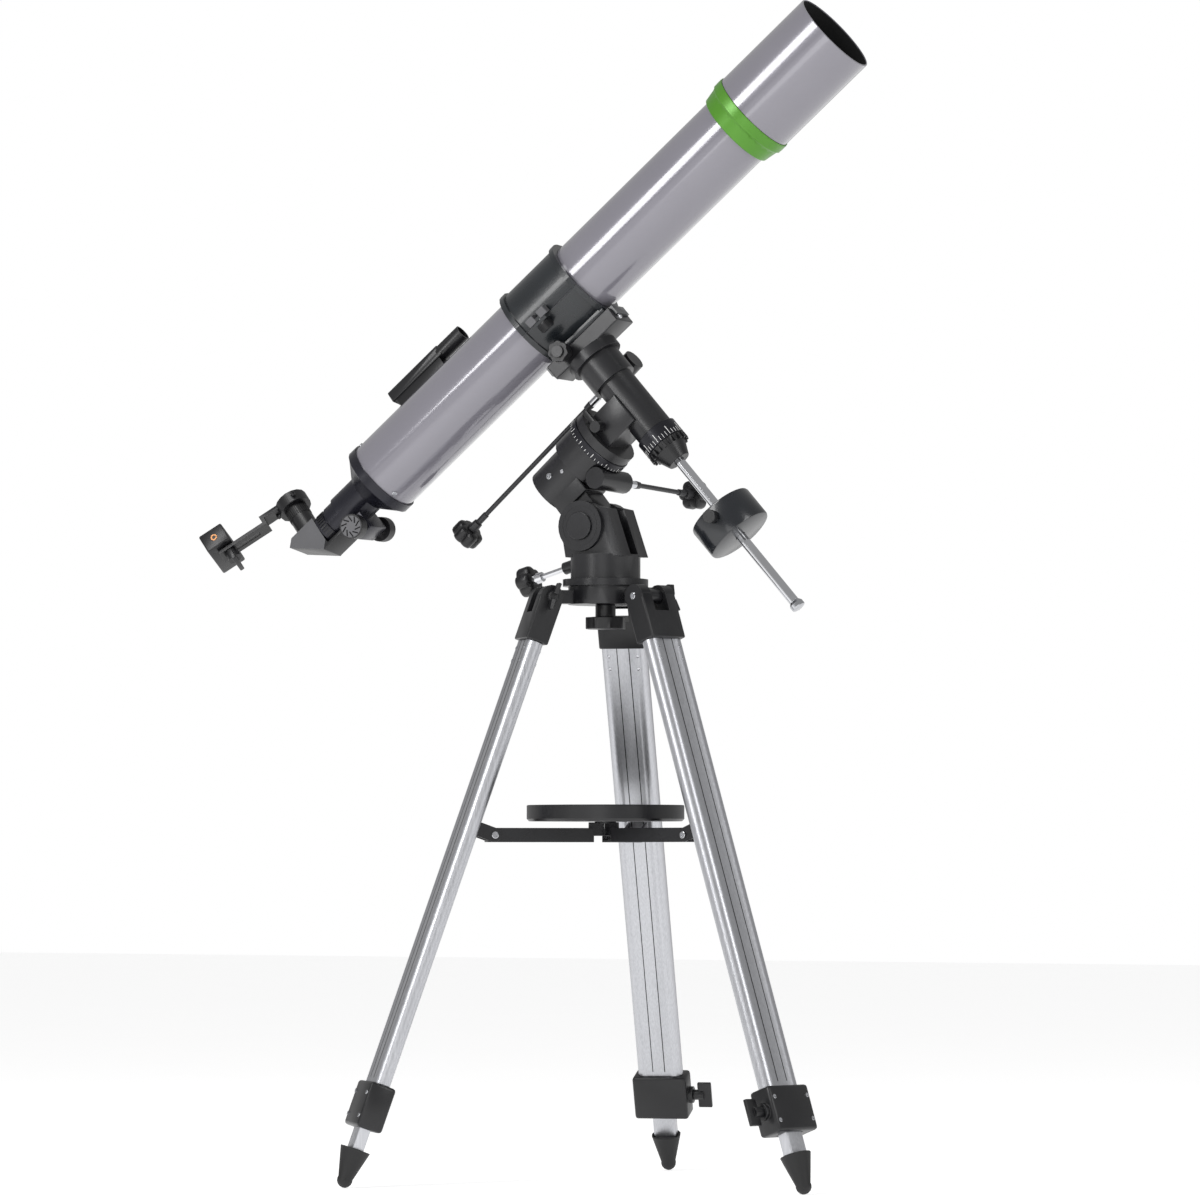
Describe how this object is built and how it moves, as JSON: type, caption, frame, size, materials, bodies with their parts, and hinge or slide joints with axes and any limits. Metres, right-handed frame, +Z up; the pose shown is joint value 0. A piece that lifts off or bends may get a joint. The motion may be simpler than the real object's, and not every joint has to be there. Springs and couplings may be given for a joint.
{
  "type": "telescope on tripod",
  "caption": "Refracting telescope on an equatorial mount with a counterweight and a folding three-legged tripod.",
  "frame": {"origin": "floor level under the middle of the whole object's box", "axes": "+Z up; +X along the mount's meridian, from the polar axis's low end to its high end; the objective end of the tube points to +X and up"},
  "size_m": [0.9168, 0.5986, 1.4852],
  "materials": {
    "hammered_black": "hammered",
    "black_plastic": "moulded",
    "black_anodised": "black anodised",
    "rubber": "matt",
    "satin_silver": "satin anodised",
    "machined_steel": "turned and plated",
    "grey_paint": "gloss metallic grey",
    "green_anodised": "anodised green",
    "coated_glass": "coated",
    "cast_iron_black": "painted satin black",
    "cast_alloy_black": "painted satin black"
  },
  "bodies": {
    "hub": {"tripod_hub": "hammered_black"},
    "hand_wheel": {"mount_bolt": "black_plastic"},
    "tray": {"spreader_plate": "hammered_black", "accessory_tray": "black_plastic"},
    "azimuth_head": {"azimuth_yoke": "cast_alloy_black", "latitude_pivot": "cast_alloy_black"},
    "latitude_screw": {"latitude_screw": "black_plastic"},
    "polar_head": {"polar_housing": "cast_alloy_black"},
    "ra_worm": {"ra_slow_motion": "black_plastic"},
    "dec_head": {"ra_shaft": "machined_steel", "dec_housing": "cast_alloy_black"},
    "ra_circle": {"ra_setting_circle": "black_plastic"},
    "dec_circle": {"dec_setting_circle": "black_plastic"},
    "ra_lock": {"ra_lock_lever": "black_plastic"},
    "dec_worm": {"dec_slow_motion": "black_plastic"},
    "telescope": {"dec_shaft": "machined_steel", "bar_nut": "cast_alloy_black", "counterweight_bar": "machined_steel", "bar_end_cap": "machined_steel", "saddle": "cast_alloy_black", "cradle_lower": "cast_alloy_black", "main_tube": "grey_paint", "lens_cell_ring": "green_anodised", "objective_lens": "coated_glass", "dew_shield": "grey_paint", "focuser_body": "black_anodised", "finder": "black_plastic"},
    "counterweight": {"counterweight": "cast_iron_black"},
    "counterweight_lock": {"counterweight_lock_screw": "black_plastic"},
    "saddle_knob": {"saddle_knob": "black_plastic"},
    "cradle_cap": {"cradle_upper": "cast_alloy_black"},
    "cradle_knob": {"cradle_knob": "black_plastic"},
    "drawtube": {"drawtube": "black_anodised"},
    "focus_knobs": {"focus_pinion": "black_anodised"},
    "diagonal": {"diagonal": "black_plastic", "eyepiece": "black_plastic"},
    "phone_arm": {"phone_arm": "black_plastic"},
    "phone_holder": {"phone_holder": "black_plastic"},
    "phone_wing_nut": {"phone_wing_nut": "black_plastic"},
    "leg_1": {"leg_yoke_1": "black_plastic", "outer_leg_1": "satin_silver", "leg_clamp_1": "black_plastic"},
    "leg_extension_1": {"inner_leg_1": "satin_silver", "foot_1": "rubber"},
    "leg_lock_1": {"leg_lock_screw_1": "black_plastic"},
    "spreader_arm_1": {"spreader_arm_1": "hammered_black"},
    "leg_2": {"leg_yoke_2": "black_plastic", "outer_leg_2": "satin_silver", "leg_clamp_2": "black_plastic"},
    "leg_extension_2": {"inner_leg_2": "satin_silver", "foot_2": "rubber"},
    "leg_lock_2": {"leg_lock_screw_2": "black_plastic"},
    "spreader_arm_2": {"spreader_arm_2": "hammered_black"},
    "leg_3": {"leg_yoke_3": "black_plastic", "outer_leg_3": "satin_silver", "leg_clamp_3": "black_plastic"},
    "leg_extension_3": {"inner_leg_3": "satin_silver", "foot_3": "rubber"},
    "leg_lock_3": {"leg_lock_screw_3": "black_plastic"},
    "spreader_arm_3": {"spreader_arm_3": "hammered_black"}
  },
  "joints": [
    {"name": "hand_wheel_turn", "type": "hinge", "parent": "hub", "child": "hand_wheel", "pos_m": [0.1044, -0.03256, 0.701], "axis": [0, 0, 1], "continuous": true},
    {"name": "azimuth_turn", "type": "hinge", "parent": "hub", "child": "azimuth_head", "pos_m": [0.1044, -0.03256, 0.78], "axis": [0, 0, 1], "continuous": true},
    {"name": "latitude_tilt", "type": "hinge", "parent": "azimuth_head", "child": "polar_head", "pos_m": [0.0894, -0.03256, 0.831], "axis": [0, -1, 0], "range_deg": [-15, 25]},
    {"name": "latitude_screw_turn", "type": "hinge", "parent": "azimuth_head", "child": "latitude_screw", "pos_m": [0.0744, -0.03256, 0.788], "axis": [-0.9632, 0, -0.2688], "continuous": true},
    {"name": "right_ascension_turn", "type": "hinge", "parent": "polar_head", "child": "dec_head", "pos_m": [0.1484, -0.03256, 0.982], "axis": [0.7627, 0, 0.6468], "range_deg": [-70, 85]},
    {"name": "ra_worm_turn", "type": "hinge", "parent": "polar_head", "child": "ra_worm", "pos_m": [0.10822, -0.03256, 0.89023], "axis": [0.0361, 0.9984, -0.0426], "continuous": true},
    {"name": "ra_circle_turn", "type": "hinge", "parent": "dec_head", "child": "ra_circle", "pos_m": [0.1484, -0.03256, 0.982], "axis": [0.7627, 0, 0.6468], "continuous": true},
    {"name": "ra_lock_turn", "type": "hinge", "parent": "dec_head", "child": "ra_lock", "pos_m": [0.1152, -0.06322, 0.95621], "axis": [0.0676, -0.9945, -0.0797], "range_deg": [-45, 10]},
    {"name": "declination_turn", "type": "hinge", "parent": "dec_head", "child": "telescope", "pos_m": [0.1484, -0.03256, 0.982], "axis": [-0.6432, -0.1045, 0.7585], "continuous": true},
    {"name": "dec_worm_turn", "type": "hinge", "parent": "dec_head", "child": "dec_worm", "pos_m": [0.10852, -0.00083, 1.02902], "axis": [-0.7627, 0, -0.6468], "continuous": true},
    {"name": "dec_circle_turn", "type": "hinge", "parent": "telescope", "child": "dec_circle", "pos_m": [0.1484, -0.03256, 0.982], "axis": [-0.6432, -0.1045, 0.7585], "continuous": true},
    {"name": "counterweight_slide", "type": "slide", "parent": "telescope", "child": "counterweight", "axis": [-0.6432, -0.1045, 0.7585], "range_m": [-0.105, 0.078]},
    {"name": "counterweight_lock_turn", "type": "hinge", "parent": "counterweight", "child": "counterweight_lock", "pos_m": [0.27713, -0.05652, 0.83737], "axis": [0.147, -0.9891, -0.0117], "continuous": true},
    {"name": "saddle_knob_turn", "type": "hinge", "parent": "telescope", "child": "saddle_knob", "pos_m": [0.07131, -0.07142, 1.05102], "axis": [0.147, -0.9891, -0.0117], "continuous": true},
    {"name": "cradle_open", "type": "hinge", "parent": "telescope", "child": "cradle_cap", "pos_m": [0.01851, 0.00688, 1.1255], "axis": [-0.7514, -0.104, -0.6516], "range_deg": [0, 80]},
    {"name": "cradle_knob_turn", "type": "hinge", "parent": "telescope", "child": "cradle_knob", "pos_m": [0.05897, -0.11007, 1.0883], "axis": [0.5722, 0.3891, -0.7219], "continuous": true},
    {"name": "focus_slide", "type": "slide", "parent": "telescope", "child": "drawtube", "axis": [-0.7514, -0.104, -0.6516], "range_m": [0, 0.06]},
    {"name": "focus_knob_turn", "type": "hinge", "parent": "telescope", "child": "focus_knobs", "pos_m": [-0.22398, -0.08618, 0.8368], "axis": [-0.147, 0.9891, 0.0117], "range_deg": [-500, 500]},
    {"name": "diagonal_turn", "type": "hinge", "parent": "drawtube", "child": "diagonal", "pos_m": [0.03905, -0.05033, 1.11094], "axis": [0.7514, 0.104, 0.6516], "continuous": true},
    {"name": "phone_arm_turn", "type": "hinge", "parent": "diagonal", "child": "phone_arm", "pos_m": [-0.29646, -0.09675, 0.82001], "axis": [-0.6594, 0.155, 0.7357], "range_deg": [-80, 80]},
    {"name": "phone_holder_slide", "type": "slide", "parent": "phone_arm", "child": "phone_holder", "axis": [0.7145, 0.4337, 0.549], "range_m": [-0.004, 0.03]},
    {"name": "phone_wing_nut_turn", "type": "hinge", "parent": "phone_holder", "child": "phone_wing_nut", "pos_m": [-0.40799, -0.13129, 0.80848], "axis": [0.6594, -0.155, -0.7357], "continuous": true},
    {"name": "leg_1_fold", "type": "hinge", "parent": "hub", "child": "leg_1", "pos_m": [0.18061, -0.04918, 0.74], "axis": [0.213, 0.977, 0], "range_deg": [0, 6]},
    {"name": "spreader_1_fold", "type": "hinge", "parent": "leg_1", "child": "spreader_arm_1", "pos_m": [0.249, -0.06409, 0.44], "axis": [0.213, 0.977, 0], "range_deg": [0, 34.1]},
    {"name": "leg_1_extend", "type": "slide", "parent": "leg_1", "child": "leg_extension_1", "axis": [0.3278, -0.0715, -0.9421], "range_m": [0, 0.36]},
    {"name": "leg_1_lock_turn", "type": "hinge", "parent": "leg_1", "child": "leg_lock_1", "pos_m": [0.39406, -0.1387, 0.10077], "axis": [-0.213, -0.977, 0], "continuous": true},
    {"name": "leg_2_fold", "type": "hinge", "parent": "hub", "child": "leg_2", "pos_m": [0.08069, 0.04175, 0.74], "axis": [-0.9527, -0.304, 0], "range_deg": [0, 6]},
    {"name": "spreader_2_fold", "type": "hinge", "parent": "leg_2", "child": "spreader_arm_2", "pos_m": [0.0594, 0.10843, 0.44], "axis": [-0.9527, -0.304, 0], "range_deg": [0, 34.1]},
    {"name": "leg_2_extend", "type": "slide", "parent": "leg_2", "child": "leg_extension_2", "axis": [-0.102, 0.3196, -0.9421], "range_m": [0, 0.36]},
    {"name": "leg_2_lock_turn", "type": "hinge", "parent": "leg_2", "child": "leg_lock_2", "pos_m": [0.05149, 0.27136, 0.10077], "axis": [0.9527, 0.304, 0], "continuous": true},
    {"name": "leg_3_fold", "type": "hinge", "parent": "hub", "child": "leg_3", "pos_m": [0.05191, -0.09025, 0.74], "axis": [0.7396, -0.673, 0], "range_deg": [0, 6]},
    {"name": "spreader_3_fold", "type": "hinge", "parent": "leg_3", "child": "spreader_arm_3", "pos_m": [0.00479, -0.14203, 0.44], "axis": [0.7396, -0.673, 0], "range_deg": [0, 34.1]},
    {"name": "leg_3_extend", "type": "slide", "parent": "leg_3", "child": "leg_extension_3", "axis": [-0.2258, -0.2481, -0.9421], "range_m": [0, 0.36]},
    {"name": "leg_3_lock_turn", "type": "hinge", "parent": "leg_3", "child": "leg_lock_3", "pos_m": [-0.13235, -0.23034, 0.10077], "axis": [-0.7396, 0.673, 0], "continuous": true},
    {"name": "tray_rise", "type": "slide", "parent": "hub", "child": "tray", "axis": [0, 0, 1], "range_m": [0, 0.0805]}
  ],
  "couplings": [
    {"joint": "latitude_screw_turn", "follows": "latitude_tilt", "ratio": 60},
    {"joint": "ra_worm_turn", "follows": "right_ascension_turn", "ratio": 130},
    {"joint": "dec_worm_turn", "follows": "declination_turn", "ratio": 130},
    {"joint": "focus_knob_turn", "follows": "focus_slide", "rad_per_m": -117.6},
    {"joint": "spreader_1_fold", "follows": "leg_1_fold", "ratio": 5.67},
    {"joint": "spreader_2_fold", "follows": "leg_1_fold", "ratio": 5.67},
    {"joint": "leg_2_fold", "follows": "leg_1_fold", "ratio": 1},
    {"joint": "spreader_3_fold", "follows": "leg_1_fold", "ratio": 5.67},
    {"joint": "leg_3_fold", "follows": "leg_1_fold", "ratio": 1},
    {"joint": "tray_rise", "follows": "leg_1_fold", "m_per_rad": 0.768}
  ]
}
